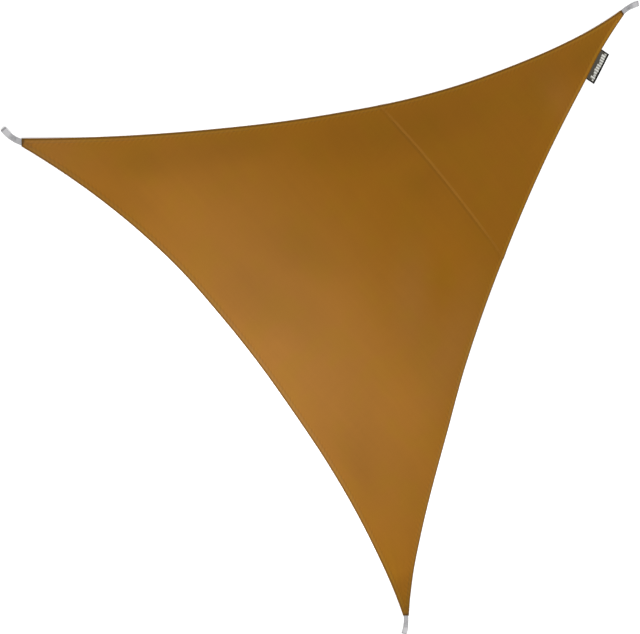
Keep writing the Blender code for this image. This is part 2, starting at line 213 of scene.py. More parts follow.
def seam_line(offset):
    """The seam, or a line beside it towards the right corner, with a slight even bow that way."""
    seam = at_share(EDGES["right"], SEAM_ON_RIGHT) - at_share(EDGES["top"], SEAM_ON_TOP)
    step = 0.01
    ends = []
    for name, share, sign in (("top", SEAM_ON_TOP, 1), ("right", SEAM_ON_RIGHT, -1)):
        before, after = at_share(EDGES[name], [share - step, share + step])
        edge = (after - before) / np.hypot(*(after - before))
        slant = abs(edge[0] * seam[1] - edge[1] * seam[0]) / np.hypot(*seam)
        ends.append(at_share(EDGES[name], share + sign * offset / slant / walked(EDGES[name])[-1]))
    share = np.linspace(0.0, 1.0, SEAM_POINTS)[:, None]
    along = ends[1] - ends[0]
    sideways = np.array([-along[1], along[0]]) / np.hypot(*along)
    return ends[0] + share * along + SEAM_BOW * 4 * share * (1 - share) * sideways


def part_of(line, start, end):
    """The part of a line between two distances along it."""
    return along_line(line, np.linspace(start, end, PART_POINTS))


def patch(borders, u, v):
    """A Coons patch: the two ruled surfaces between opposite borders, added, less the one that the four
    corners alone would give."""
    near, far, start, end = borders
    u_, v_ = u[..., None], v[..., None]
    ruled = (1 - v_) * at_share(near, u) + v_ * at_share(far, u)
    ruled = ruled + (1 - u_) * at_share(start, v) + u_ * at_share(end, v)
    low = (1 - u_) * near[0] + u_ * near[-1]
    high = (1 - u_) * far[0] + u_ * far[-1]
    return ruled - (1 - v_) * low - v_ * high


def per_metre(borders, side, share):
    """How much of a patch's u or v a metre is, walking squarely in from one border, at shares along it."""
    step, least = 0.01, 1e-9
    level = np.full_like(share, 1.0 if side in ("far", "end") else 0.0)
    aside = share + np.where(share > 0.5, -step, step)

    def point(at, depth):
        return patch(borders, at, depth) if side in ("near", "far") else patch(borders, depth, at)

    here = point(share, level)
    inward = point(share, level + step * (1 - 2 * level)) - here
    border = point(aside, level) - here
    border = border / np.maximum(np.linalg.norm(border, axis=-1), least)[..., None]
    return step / np.maximum(abs(inward[..., 0] * border[..., 1] - inward[..., 1] * border[..., 0]), least)


def spread(low_rate, high_rate, low, high, cells):
    """Shares across a patch: lines at set distances from its low side, even cells, and the high side's."""
    low = [np.minimum(d * low_rate, LINE_STEP_MOST * k) for k, d in enumerate((0.0, *low))]
    high = [1 - np.minimum(d * high_rate, LINE_STEP_MOST * k) for k, d in enumerate((0.0, *high))][::-1]
    inner = [low[-1] + (high[0] - low[-1]) * k / cells for k in range(1, cells)]
    return np.stack([*low, *inner, *high])


def panel_plan(borders, lines, cells):
    """A panel's grid of points in the plan, rows by columns, with lines of the grid along hems and laps."""
    rows = cells[1] + len(lines["near"]) + len(lines["far"]) + 1
    v_rough = np.linspace(0.0, 0.98, rows)      # stops short of a border that is one point
    u = spread(per_metre(borders, "start", v_rough), per_metre(borders, "end", v_rough),
               lines["start"], lines["end"], cells[0]).T
    u_middle = u[rows // 2]
    v = spread(per_metre(borders, "near", u_middle), per_metre(borders, "far", u_middle),
               lines["near"], lines["far"], cells[1])
    return patch(borders, u, v)


def quads(rows, columns, closed=False):
    """The faces of a grid of points numbered row by row. A closed grid's last column joins its first."""
    i = np.arange(rows - 1)[:, None]
    j = np.arange(columns if closed else columns - 1)[None, :]
    after = (j + 1) % columns
    corners = (i * columns + j, i * columns + after, (i + 1) * columns + after, (i + 1) * columns + j)
    return np.stack(corners, axis=-1).reshape(-1, 4).tolist()


def new_piece(name, points, faces, finish):
    """An object at the origin from an array of points and a list of faces."""
    mesh = bpy.data.meshes.new(name)
    mesh.from_pydata(points.reshape(-1, 3).tolist(), [], faces)
    mesh.update()
    mesh.shade_smooth()
    mesh.materials.append(finish)
    piece = bpy.data.objects.new(name, mesh)
    bpy.context.scene.collection.objects.link(piece)
    return piece


def keep_numbers(piece, **numbers):
    """Numbers kept at each point of a piece, for its finish to read by their names."""
    for name, values in numbers.items():
        kept = piece.data.attributes.new(name, "FLOAT", "POINT")
        kept.data.foreach_set("value", np.ravel(values).astype(np.float32))


def thicken(piece, thick, group=""):
    """A surface made solid upwards, by that much times the shares in a group of its points."""
    solid = piece.modifiers.new("Thickness", "SOLIDIFY")
    solid.thickness = thick
    solid.offset = 1.0
    solid.vertex_group = group


def tag_frame():
    """The tag's middle on the right edge, its way along the edge towards the foot, and its way outward."""
    half = TAG_LONG / 2 / walked(EDGES["right"])[-1]
    before, middle, after = at_share(EDGES["right"], TAG_ON_RIGHT + np.array([-half, 0.0, half]))
    heading = np.degrees(np.arctan2(*(after - before)[::-1]))
    return middle, way(heading), way(heading + 90)


def underside(plan):
    """The height of the cloth's underside: the lift at the tips or over the tag, whichever is higher, plus
    each swell's dome (1 - r^2)^2."""
    high = np.zeros(plan.shape[:-1])
    for tip in TIPS.values():
        away = np.linalg.norm(plan - tip_place(tip), axis=-1)
        high = np.maximum(high, TIP_LIFT * (1 - smooth(away, *TIP_RAMP)))
    middle, along, outward = tag_frame()
    beyond = abs((plan - middle) @ along) - TAG_LONG / 2
    within = -(plan - middle) @ outward - TAG_TUCK
    high = np.maximum(high, TAG_LIFT * (1 - smooth(beyond, *TAG_RAMP)) * (1 - smooth(within, *TAG_RAMP)))
    for swell in SWELLS:
        away = plan - CENTRE - np.array(swell["at"])
        r_long = away @ way(swell["heading"]) / swell["long"]
        r_wide = away @ way(swell["heading"] + 90) / swell["wide"]
        high = high + swell["high"] * np.clip(1 - r_long ** 2 - r_wide ** 2, 0.0, None) ** 2
    return high


def ridges(plan):
    """The fans at the tips: two sines of the angle about each tip, by the distance from it."""
    high = np.zeros(plan.shape[:-1])
    for name, tip in TIPS.items():
        away = plan - tip_place(tip)
        far = np.linalg.norm(away, axis=-1)
        turn = FANS[name]["ridges"] * np.arctan2(away[..., 1], away[..., 0])
        wave = np.sin(turn) + BROAD_WAVE["high"] * np.sin(BROAD_WAVE["count"] * turn + BROAD_WAVE["shift"])
        share = smooth(far, *FAN_SWELLS) * (1 - smooth(far, *FAN_FADES))
        high = high + FANS[name]["high"] * (1 + wave / (1 + BROAD_WAVE["high"])) * share
    return high


def from_edges(plan):
    """For points of the plan: the distance to the nearest edge, the distance along it, and which it is."""
    both = [beside(EDGES[name], plan) for name in ("top", "left", "right")]
    apart = np.stack([one[0] for one in both])
    along = np.stack([one[1] for one in both])
    nearest = apart.argmin(axis=0)
    pick = np.take_along_axis
    return pick(apart, nearest[None], 0)[0], pick(along, nearest[None], 0)[0], nearest


def thickness(edge):
    """The cloth's thickness by the distance from the edge: a rounded roll, the flat hem, then one layer."""
    roll = np.sqrt(np.clip(1 - (1 - np.clip(edge / HEM_ROLL, 0.0, 1.0)) ** 2, 0.0, 1.0))
    hem = HEM_THICK * (HEM_LEAST + (1 - HEM_LEAST) * roll)
    return CLOTH_THICK + (hem - CLOTH_THICK) * (1 - smooth(edge, *HEM_STEP))


def seam_lift(plan, edge):
    """The corner panel's lift over the big panel's end: its thickness, up to a little past the lap."""
    apart, _ = beside(seam_line(0.0), plan)
    return (thickness(edge) + LAP_CLEAR) * (1 - smooth(apart, *LAP_RAMP))


def top_of(plan, lapped):
    """The height of the cloth's upper face."""
    edge, _, _ = from_edges(plan)
    high = underside(plan) + ridges(plan) + thickness(edge)
    return high + seam_lift(plan, edge) if lapped else high


class Socket:
    """One value in a material. Sums and products of sockets and numbers add the Math nodes for them."""

    def __init__(self, finish, output):
        self.finish, self.output = finish, output

    def maths(self, operation, first, second=0.0):
        """A Math node on one or two values."""
        return self.finish.node("Math", {"operation": operation}, {0: first, 1: second})

    def __add__(self, other):
        return self.maths("ADD", self, other)

    def __sub__(self, other):
        return self.maths("SUBTRACT", self, other)

    def __rsub__(self, other):
        return self.maths("SUBTRACT", other, self)

    def __mul__(self, other):
        return self.maths("MULTIPLY", self, other)

    def __truediv__(self, other):
        return self.maths("DIVIDE", self, other)

    __radd__ = __add__
    __rmul__ = __mul__

    def sine(self):
        return self.maths("SINE", self)

    def size(self):
        return self.maths("ABSOLUTE", self)

    def whole(self):
        return self.maths("FLOOR", self)

    def rest(self):
        """What is left over the whole number."""
        return self.maths("FRACT", self)

    def rising(self, low, high):
        """0 below low, 1 above high, and a smooth S between them."""
        settings = {"interpolation_type": "SMOOTHSTEP"}
        return self.finish.node("MapRange", settings, {"Value": self, "From Min": low, "From Max": high})

    def falling(self, low, high):
        """1 below low, 0 above high, and a smooth S between them."""
        return 1 - self.rising(low, high)

    def near_zero(self, low, high):
        """1 where the value is near 0, on either side, falling to 0 between those two sizes."""
        return self.size().falling(low, high)


class Finish:
    """One material: a single method adds any node, and put() feeds the shader."""

    def __init__(self, name):
        self.material = bpy.data.materials.new(name)
        self.material.use_nodes = True
        self.tree = self.material.node_tree
        self.shader = self.tree.nodes["Principled BSDF"]

    def feed(self, node, key, value):
        """Gives a node's socket a value, or links another node to it."""
        if isinstance(value, Socket):
            self.tree.links.new(value.output, node.inputs[key])
        else:
            node.inputs[key].default_value = value

    def node(self, kind, settings=None, values=None, output=0):
        """Any node: its kind, then its settings, then the values or links of its sockets."""
        made = self.tree.nodes.new("ShaderNode" + kind)
        for name, setting in (settings or {}).items():
            setattr(made, name, setting)
        for key, value in (values or {}).items():
            self.feed(made, key, value)
        return Socket(self, made.outputs[output])

    def put(self, **values):
        """Feeds the shader's sockets, which are named with _ in place of each space."""
        for name, value in values.items():
            self.feed(self.shader, name.replace("_", " "), value)

    def blend(self, share, low, high):
        """A colour between two others, each a colour or a socket."""
        return self.node("Mix", {"data_type": "RGBA"}, {0: share, 6: low, 7: high}, output=2)

    def toned(self, colour, tone):
        """A colour times a grey of that value."""
        grey = self.node("CombineColor", {}, {"Red": tone, "Green": tone, "Blue": tone})
        return self.tinted(1.0, colour, grey)

    def tinted(self, share, colour, tint):
        """A colour times a tint, by a share."""
        settings = {"data_type": "RGBA", "blend_type": "MULTIPLY"}
        return self.node("Mix", settings, {0: share, 6: colour, 7: tint}, output=2)

    def stored(self, name):
        """The number that keep_numbers kept under a name."""
        return self.node("Attribute", {"attribute_name": name}, output="Fac")

    def oval(self, place, shape):
        """An oval patch from a table: 1 in its middle, fading smoothly to 0 at its rim."""
        turned = {"Vector": place, "Location": (*shape["at"], 0.0),
                  "Rotation": (0.0, 0.0, np.radians(shape["heading"])),
                  "Scale": (shape["long"], shape["wide"], 1.0)}
        local = self.node("Mapping", {"vector_type": "TEXTURE"}, turned)
        away = self.node("VectorMath", {"operation": "LENGTH"}, {0: local}, output="Value")
        return away.falling(0.0, 1.0)

    def noise(self, place, scale, detail=2.0):
        """Noise from 0 to 1, about 0.5."""
        values = {"Vector": place, "Scale": scale, "Detail": detail, "Roughness": 0.55}
        return self.node("TexNoise", {}, values)


CLOTH_COLOUR = (0.2060, 0.0802, 0.0042, 1.0)
# painted sheen: the paler, greyer cloth colour mixed in where the light's gloss would lie
SHEEN_COLOUR = (0.2200, 0.0940, 0.0172, 1.0)
HEM_TINT = (1.0, 1.09, 1.45, 1.0)           # the doubled cloth is a little greyer
OLIVE_TINT = (0.975, 1.02, 0.87, 1.0)       # uneven dye
# painted shade: the dark colour of the hem's rolled edge, and of the painted shadow beside the seam's lap
# on the big panel
EDGE_SHADE_COLOUR = (0.112, 0.052, 0.006, 1.0)
TIP_COLOUR = (0.072, 0.036, 0.008, 1.0)     # the tips' ends, packed with dark thread
LAP_HIGHLIGHT_COLOUR = (0.405, 0.190, 0.030, 1.0)     # painted highlight along the lapped edge of the seam
RIM_SHADE_WIDE = {"top": 0.0102, "left": 0.0078, "right": 0.0056}     # painted shade along the hem's rolled edge, this wide
FOOT_RIM_SHADE = {"share": 1.35, "span": (0.20, 0.50)}                # the painted edge shade is wider towards the foot
HEM_SHADE = {"top": (0.00, 0.13), "left": (-0.045, 0.035), "right": (0.24, -0.08)}    # painted light and shade on each hem, from end to end
WARP_HEADING = -57.5                        # the cloth's threads run along the seam
THREAD = 0.0009
HEM_ROWS = (0.0045, 0.0195)                 # the two rows of sewing, from the edge
HEM_ROW_MARKS = ((0.0005, 0.0020, 1.0), (0.0006, 0.0034, 0.8))  # each row's sunk line: from, to, share
HEM_SHOWS = (HEM_WIDE - 0.0035, HEM_WIDE + 0.0005)
PUCKER = 0.0235                             # from one pucker along the hem to the next
PUCKER_SLANT = 230.0
PUCKER_REACH = (0.004, 0.024)               # they fade this far from the inner row
SEAM_SHOWS = ((0.03, 0.16), (0.76, 0.90))   # its painted highlight and shadow come and go here, down the seam
SEAM_FAINT = 0.45                           # and are this faint at its ends
TIP_END = (0.006, 0.011)

# What the weave, noise and sewing do: how much each lightens the cloth and how high it stands. Streaks
# are noise drawn out along the warp or across it: slubs in the threads, and faint bars
# the weave's tone is painted shade in the hollows between its threads
WEAVE = {"tone": 0.05, "relief": 0.03}
STREAKS = [
    {"scale": (2.0, 260.0, 1.0), "tone": 0.08, "relief": 0.06},
    {"scale": (260.0, 2.0, 1.0), "tone": 0.06, "relief": 0.05},
    {"scale": (0.8, 22.0, 1.0), "tone": 0.05, "relief": 0.00},
]
CLOUDS = {"scale": 2.6, "tone": 0.06}
MOTTLE = {"scale": 11.0, "tone": 0.07}
# the sewn rows' darker tone is painted shade in their sunk lines, and the puckers' tone is painted light
# and shade on their ridges and hollows
SEWN = {"tone": -0.04, "relief": -0.50}
PUCKERS = {"tone": 0.05, "relief": 0.45}
# painted shade over the foot's tip: how dark, and from where to where away from it
FOOT_SHADES = [{"span": (0.15, 0.24), "tone": -0.14}, {"span": (0.05, 0.12), "tone": -0.08}]

# Ovals, from the origin, of painted sheen: a paler, greyer colour where the light's gloss would lie. Then
# soft patches of painted light and shade, a little darker or lighter
SHEEN_OVALS = [
    {"at": (-0.42, 0.10), "heading": -58, "long": 1.75, "wide": 0.85, "share": 1.0},
    {"at": (-1.50, 1.27), "heading": -20, "long": 0.50, "wide": 0.28, "share": 0.6},
    {"at": (0.42, -0.05), "heading": 60, "long": 0.55, "wide": 0.24, "share": 0.5},
    {"at": (0.23, 0.22), "heading": 85, "long": 0.46, "wide": 0.17, "share": 0.4},
    {"at": (1.10, 0.98), "heading": -60, "long": 0.26, "wide": 0.14, "share": 0.3},
]
# Patches of painted light and shade: soft ovals that darken or lighten the cloth as the light on its low
# troughs and swells would
LIGHT_AND_SHADE_PATCHES = [
    {"at": (-0.98, 1.10), "heading": -8, "long": 0.26, "wide": 0.12, "tone": -0.08},
    {"at": (-0.57, 1.09), "heading": -5, "long": 0.38, "wide": 0.13, "tone": -0.10},
    {"at": (0.05, 1.00), "heading": -3, "long": 0.60, "wide": 0.20, "tone": -0.09},
    {"at": (0.52, 1.00), "heading": 8, "long": 0.40, "wide": 0.22, "tone": -0.07},
    {"at": (-0.82, 0.87), "heading": -28, "long": 0.42, "wide": 0.18, "tone": 0.07},
    {"at": (-0.10, 0.20), "heading": -60, "long": 0.42, "wide": 0.30, "tone": 0.06},
    {"at": (0.14, -0.30), "heading": -70, "long": 0.55, "wide": 0.24, "tone": 0.09},
    {"at": (-0.31, 0.57), "heading": -40, "long": 0.30, "wide": 0.15, "tone": -0.06},
    {"at": (-0.26, -0.38), "heading": -62, "long": 0.38, "wide": 0.12, "tone": -0.06},
    {"at": (1.05, 0.84), "heading": 58, "long": 0.34, "wide": 0.12, "tone": 0.06},
    {"at": (1.30, 1.16), "heading": 34, "long": 0.20, "wide": 0.11, "tone": -0.10},
    {"at": (0.46, 0.38), "heading": -60, "long": 0.34, "wide": 0.17, "tone": 0.05},
    {"at": (-0.57, 0.41), "heading": -50, "long": 0.34, "wide": 0.18, "tone": -0.10},
    {"at": (-0.32, 0.23), "heading": -50, "long": 0.24, "wide": 0.16, "tone": -0.06},
    {"at": (-0.12, -0.52), "heading": -80, "long": 0.44, "wide": 0.16, "tone": -0.08},
    {"at": (1.05, 1.09), "heading": 15, "long": 0.30, "wide": 0.15, "tone": -0.06},
    {"at": (-1.05, 0.95), "heading": -35, "long": 0.22, "wide": 0.12, "tone": -0.06},
    {"at": (0.36, 0.73), "heading": 0, "long": 0.17, "wide": 0.13, "tone": -0.07},
]


def cloth_finish(name, seam_reach, seam_share, seam_colour):
    """The cloth: a fine plain weave with slubs, painted sheen, soft patches of painted light and shade, a
    rolled edge darkened with painted shade, and sewn lines and puckers with painted shade on them.
    """
    cloth = Finish(name)
    place = cloth.node("TexCoord", output="Object")
    turned = {"Vector": place, "Rotation": (0.0, 0.0, -np.radians(WARP_HEADING))}
    woven = cloth.node("Mapping", {}, turned)
    x, y = (cloth.node("SeparateXYZ", {}, {0: woven}, output=axis) for axis in "XY")
    weave = (x * (2 * np.pi / THREAD)).sine() * (y * (2 * np.pi / THREAD)).sine()
    clouds = cloth.noise(place, CLOUDS["scale"], 3.0)
    mottle = cloth.noise(place, MOTTLE["scale"], 3.0)
    # the weave's part of the tone is painted shade between its threads
    tone = 1.0 + WEAVE["tone"] * weave + CLOUDS["tone"] * (clouds - 0.5) + MOTTLE["tone"] * (mottle - 0.5)
    relief = WEAVE["relief"] * weave
    for streak in STREAKS:
        threads = cloth.noise(cloth.node("Mapping", {}, {"Vector": woven, "Scale": streak["scale"]}), 1.0)
        tone = tone + streak["tone"] * (threads - 0.5)
        relief = relief + streak["relief"] * threads
    # painted light and shade, in soft ovals
    for soft in LIGHT_AND_SHADE_PATCHES:
        tone = tone + soft["tone"] * cloth.oval(place, soft)

    edge, along = cloth.stored("from_edge"), cloth.stored("along_edge")
    # painted shade along the sunk lines of the two sewn rows
    sewn = sum(share * (edge - row).near_zero(near, far)
               for row, (near, far, share) in zip(HEM_ROWS, HEM_ROW_MARKS))
    # puckers beside the inner row, with painted light and shade on them
    puckers = (along * (2 * np.pi / PUCKER) + edge * PUCKER_SLANT + 5 * mottle).sine()
    puckers = puckers * (edge - HEM_ROWS[1]).near_zero(*PUCKER_REACH)
    hemmed = edge.falling(*HEM_SHOWS)
    # painted light and shade on the hem, lighter or darker than the cloth and changing along each edge
    tone = tone + cloth.stored("hem_shade") * hemmed + SEWN["tone"] * sewn + PUCKERS["tone"] * puckers
    relief = relief + SEWN["relief"] * sewn + PUCKERS["relief"] * puckers
    # painted shade near the foot's tip
    for shade in FOOT_SHADES:
        tone = tone + shade["tone"] * cloth.stored("from_foot").falling(*shade["span"])

    # painted sheen: a paler, greyer colour over the ovals, standing in for the light's gloss
    sheen = sum(soft["share"] * cloth.oval(place, soft) for soft in SHEEN_OVALS)
    colour = cloth.blend(sheen, CLOTH_COLOUR, SHEEN_COLOUR)
    colour = cloth.tinted(hemmed, colour, HEM_TINT)
    colour = cloth.tinted(cloth.noise(place, 5.5).rising(0.44, 0.64), colour, OLIVE_TINT)
    colour = cloth.toned(colour, tone)
    # along the seam: a painted highlight on the corner panel's lapped edge, and a painted shadow beside it
    # on the big panel
    down = cloth.stored("down_seam")
    shows = SEAM_FAINT + (1 - SEAM_FAINT) * down.rising(*SEAM_SHOWS[0]) * down.falling(*SEAM_SHOWS[1])
    by_seam = cloth.stored("from_seam").falling(0.75 * seam_reach, 1.15 * seam_reach)
    colour = cloth.blend(seam_share * shows * by_seam, colour, seam_colour)
    # painted shade along the rolled edge of the hem
    rim = edge / cloth.stored("rim")
    colour = cloth.blend(0.9 * rim.rising(0.0, 0.35) * rim.falling(0.65, 1.0), colour, EDGE_SHADE_COLOUR)
    colour = cloth.blend(0.8 * cloth.stored("from_tip").falling(*TIP_END), colour, TIP_COLOUR)
    bump = cloth.node("Bump", {}, {"Height": relief, "Distance": 0.0006, "Strength": 0.8})
    cloth.put(Base_Color=colour, Roughness=0.62 + 0.10 * (clouds - 0.5), Normal=bump,
              Specular_IOR_Level=0.055)
    return cloth.material


def cloth_piece(name, borders, lines, cells, tips, lapped, finish):
    """A panel: its flat plan with the tips cut square, raised to its place, then given its thickness."""
    plan = panel_plan(borders, lines, cells)
    flat = np.concatenate([plan, np.zeros((*plan.shape[:2], 1))], axis=-1)
    piece = new_piece(name, flat, quads(*plan.shape[:2]), finish)
    work = bmesh.new()
    work.from_mesh(piece.data)
    for tip in tips:
        across = way(TIPS[tip]["cut"])
        cut_at = tip_place(TIPS[tip], TIPS[tip]["short"])
        outward = np.array([across[1], -across[0]])
        outward *= np.sign(outward @ (cut_at - CENTRE))
        bmesh.ops.bisect_plane(work, geom=work.verts[:] + work.edges[:] + work.faces[:], clear_outer=True,
                               plane_co=(*cut_at, 0.0), plane_no=(*outward, 0.0))
    bmesh.ops.recalc_face_normals(work, faces=work.faces)
    if sum(face.normal.z for face in work.faces) < 0:
        bmesh.ops.reverse_faces(work, faces=work.faces)
    work.to_mesh(piece.data)
    work.free()

    points = np.empty(len(piece.data.vertices) * 3)
    piece.data.vertices.foreach_get("co", points)
    points = points.reshape(-1, 3)
    plan = points[:, :2]
    edge, along, nearest = from_edges(plan)
    points[:, 2] = underside(plan) + ridges(plan) + (seam_lift(plan, edge) if lapped else 0.0)
    piece.data.vertices.foreach_set("co", points.ravel())
    seam, down_seam = beside(seam_line(0.0), plan)
    near_tip, far_off = 0.2, 1.0
    cut = [np.where(np.linalg.norm(plan - tip_place(tip), axis=-1) < near_tip,
                    abs((plan - tip_place(tip, tip["short"])) @ way(tip["heading"])), far_off)
           for tip in TIPS.values()]
    foot = np.linalg.norm(plan - tip_place(TIPS["foot"]), axis=-1)
    total = np.array([walked(line)[-1] for line in EDGES.values()])
    # how wide the painted shade along the rolled edge is
    rim = np.array([RIM_SHADE_WIDE[side] for side in EDGES])[nearest]
    rim = rim * (FOOT_RIM_SHADE["share"] + (1 - FOOT_RIM_SHADE["share"]) * smooth(foot, *FOOT_RIM_SHADE["span"]))
    # painted light and shade on the hems, changing evenly along each edge
    first, last = np.array([HEM_SHADE[side] for side in EDGES]).T
    shade = first[nearest] + (last - first)[nearest] * along / total[nearest]
    keep_numbers(piece, from_edge=edge, along_edge=along, rim=rim, hem_shade=shade, from_seam=seam,
                 down_seam=down_seam, from_foot=foot, from_tip=np.min(cut, axis=0))
    group = piece.vertex_groups.new(name="thick")
    level = np.round(thickness(edge) / HEM_THICK * THICKNESS_STEPS).astype(int)
    for step in np.unique(level):
        group.add(np.flatnonzero(level == step).tolist(), step / THICKNESS_STEPS, "REPLACE")
    thicken(piece, HEM_THICK, "thick")
    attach(piece, "root")
    return piece


HEM_LINES = (0.0006, 0.0016, 0.0032, 0.0055, 0.0090, 0.0135, 0.0180, 0.0210, 0.0232, 0.0275, 0.0340)


def big_panel():
    """The big panel's borders: the left edge, the end under the seam, and parts of the other two edges."""
    far = seam_line(SEAM_LAP)
    _, on_top = beside(EDGES["top"], far[:1])
    _, on_right = beside(EDGES["right"], far[-1:])
    borders = (
        EDGES["left"], far, part_of(EDGES["top"], 0.0, on_top[0]),
        part_of(EDGES["right"], walked(EDGES["right"])[-1], on_right[0]),
    )
    lines = {"near": HEM_LINES, "far": (0.005, 0.010, 0.015), "start": HEM_LINES, "end": HEM_LINES}
    # on this panel the seam carries a painted shadow beside the lap
    finish = cloth_finish("cloth", seam_reach=0.0120, seam_share=0.20, seam_colour=EDGE_SHADE_COLOUR)
    return cloth_piece("sail_big_panel", borders, lines, (200, 118), ("left", "foot"), False, finish)


big = big_panel()
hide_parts("panel_main")

# --------------------------------------------------------------------------------- The corner panel
# The offcut that finishes the right-hand corner. Its long side is lapped over the big panel and sewn
# down, so its edge stands up a little and catches the light, and a painted highlight along it adds to that.


def corner_panel():
    """The corner panel's borders: the seam, and the two edges that run on from it to the right tip."""
    near = seam_line(0.0)
    top, right = EDGES["top"], EDGES["right"]
    _, on_top = beside(top, near[:1])
    _, on_right = beside(right, near[-1:])
    borders = (
        near, np.stack([top[-1], top[-1] + 1e-6]),
        part_of(top, on_top[0], walked(top)[-1]), part_of(right, on_right[0], 0.0),
    )
    lap = (0.002, 0.004, 0.0075, 0.011, 0.015, 0.018, 0.023, 0.030, 0.038, 0.046)
    lines = {"near": lap, "far": (), "start": HEM_LINES, "end": HEM_LINES}
    # on this panel the seam carries a painted highlight along its lapped edge
    finish = cloth_finish("cloth_lapped", seam_reach=0.0130, seam_share=0.165, seam_colour=LAP_HIGHLIGHT_COLOUR)
    return cloth_piece("sail_corner_panel", borders, lines, (90, 130), ("right",), True, finish)


corner = corner_panel()
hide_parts("panel_corner")

# ------------------------------------------------------------------------------------ The hem sewing
# Two rows of lockstitch all round, in thread a shade deeper than the cloth. One holds the rolled edge,
# and one the inner edge of the hem.

THREAD_RADIUS = 0.00032
STITCH_PITCH = 0.0042
STITCH_GAP = 0.0008
STITCH_FULL = (0.18, 0.82)                  # a stitch has its full thickness between these shares of it
STITCH_RISE = 0.45                          # its middle lies over the cloth, and its ends in it, by these
STITCH_SINK = 0.60                          # shares of its radius
PLIES = {"X": 9000, "Y": 7000}              # how fast the twisted plies turn, in radians to a metre
SEWN_COLOUR = (0.150, 0.062, 0.012, 1.0)
ROW_POINTS = 800
ROW_PAST = 6                                # of them lie beyond the cut tips
ROW_SLACK = 0.0004
ROW_CLEAR = 0.004                           # a row ends this far short of a tip's cut


def thread_finish(name, colour):
    """Twisted polyester thread: fine slanting plies, slightly glossy."""
    thread = Finish(name)
    place = thread.node("TexCoord", output="Object")
    ply = (thread.node("SeparateXYZ", {}, {0: place}, output="X") * PLIES["X"]
           + thread.node("SeparateXYZ", {}, {0: place}, output="Y") * PLIES["Y"]).sine()
    tone = 1.0 + 0.12 * ply + 0.3 * (thread.noise(place, 60.0) - 0.5)
    bump = thread.node("Bump", {}, {"Height": ply, "Distance": 0.0001, "Strength": 0.5})
    thread.put(Base_Color=thread.toned(colour, tone), Roughness=0.50 + 0.04 * ply, Normal=bump,
               Specular_IOR_Level=0.3)
    return thread.material


def stitch_ends(line, height, pitch=STITCH_PITCH, gap=STITCH_GAP):
    """The two ends of each stitch along a line in the plan, at the height that a function of it gives."""
    far = walked(line)[-1]
    starts = np.arange(gap, far - pitch, pitch)
    plan = np.stack([along_line(line, starts), along_line(line, starts + pitch - gap)])
    return np.concatenate([plan, height(plan)[..., None]], axis=-1)


def sewn_rows(name, ends, finish, radius=THREAD_RADIUS):
    """Stitches as one mesh. Each is a bridge: it leaves the cloth at one point, swells to a four-sided
    thread for the middle of its length, and goes back in at another point."""
    first, last = ends
    along = (last - first) / np.linalg.norm(last - first, axis=-1, keepdims=True)
    side = np.stack([-along[:, 1], along[:, 0], np.zeros(len(along))], axis=-1)
    side /= np.linalg.norm(side, axis=-1, keepdims=True)
    up = np.cross(along, side)
    rings = []
    for share in STITCH_FULL:
        middle = first + share * (last - first) + up * STITCH_RISE * radius
        rings += [middle + radius * spoke for spoke in (side, up, -side, -up)]
    sunk = up * radius * STITCH_SINK
    points = np.stack([first - sunk, *rings, last - sunk], axis=1)
    ring = np.arange(4)
    after = (ring + 1) % 4
    caps = np.concatenate([np.stack([0 * ring, 1 + after, 1 + ring], -1),
                           np.stack([0 * ring + 9, 5 + ring, 5 + after], -1)])
    body = np.stack([1 + ring, 1 + after, 5 + after, 5 + ring], -1)
    starts = np.arange(len(points))[:, None, None] * points.shape[1]
    faces = [*(starts + caps).reshape(-1, 3).tolist(), *(starts + body).reshape(-1, 4).tolist()]
    piece = new_piece(name, points, faces, finish)
    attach(piece, "root")
    return piece


def inset_line(line, depth):
    """A line parallel to another, that far towards the middle of the sail."""
    along = np.gradient(line, axis=0)
    along /= np.linalg.norm(along, axis=1, keepdims=True)
    inward = np.stack([-along[:, 1], along[:, 0]], axis=1)
    inward *= np.sign((inward * (CENTRE - line)).sum(axis=1))[:, None]
    return line + depth * inward


def past_seam(plan):
    """Whether points of the plan lie on the corner panel's side of the seam's nearest stretch."""
    seam = seam_line(0.0)
    _, along = beside(seam, plan)
    step = 0.01
    ahead = along_line(seam, along + step) - along_line(seam, along - step)
    away = plan - along_line(seam, along)
    return ahead[..., 0] * away[..., 1] > ahead[..., 1] * away[..., 0]


def hem_ends():
    """The stitches of both rows along the three edges, from cut to cut, over the seam too."""
    stretches = []
    for name in ("top", "left", "right"):
        fine = at_share(EDGES[name], np.linspace(0.0, 1.0, ROW_POINTS))
        for depth in HEM_ROWS:
            line = inset_line(fine[ROW_PAST:-ROW_PAST], depth)
            keep = from_edges(line)[0] > depth - ROW_SLACK
            for tip in TIPS.values():
                keep &= (line - tip_place(tip)) @ way(tip["heading"]) < -ROW_CLEAR
            line = line[np.flatnonzero(keep)[0]: np.flatnonzero(keep)[-1] + 1]
            for lapped in (False, True):
                part = line[past_seam(line) == lapped]
                if len(part) > 2:
                    stretches.append(stitch_ends(part, lambda plan, lapped=lapped: top_of(plan, lapped)))
    return np.concatenate(stretches, axis=1)


hem_sewing = sewn_rows("hem_sewing", hem_ends(), thread_finish("hem_thread", SEWN_COLOUR))

# ----------------------------------------------------------------------------------- The seam sewing
# Two rows of lockstitch that hold the corner panel's lapped edge down on the big panel.

SEAM_ROWS = (0.0035, 0.0110)


def seam_ends():
    """The stitches of the rows beside the seam's edge."""
    rows = [seam_line(depth) for depth in SEAM_ROWS]
    return np.concatenate([stitch_ends(row, lambda plan: top_of(plan, True)) for row in rows], axis=1)


seam_sewing = sewn_rows("seam_sewing", seam_ends(), thread_finish("seam_thread", SEWN_COLOUR))

# ---------------------------------------------------------------------------------- The corner straps
# At each corner a length of light grey webbing is folded into a loop. Its two tails lie under the
# cloth, its plies are sewn together outside it, and they part round the eye at the end.

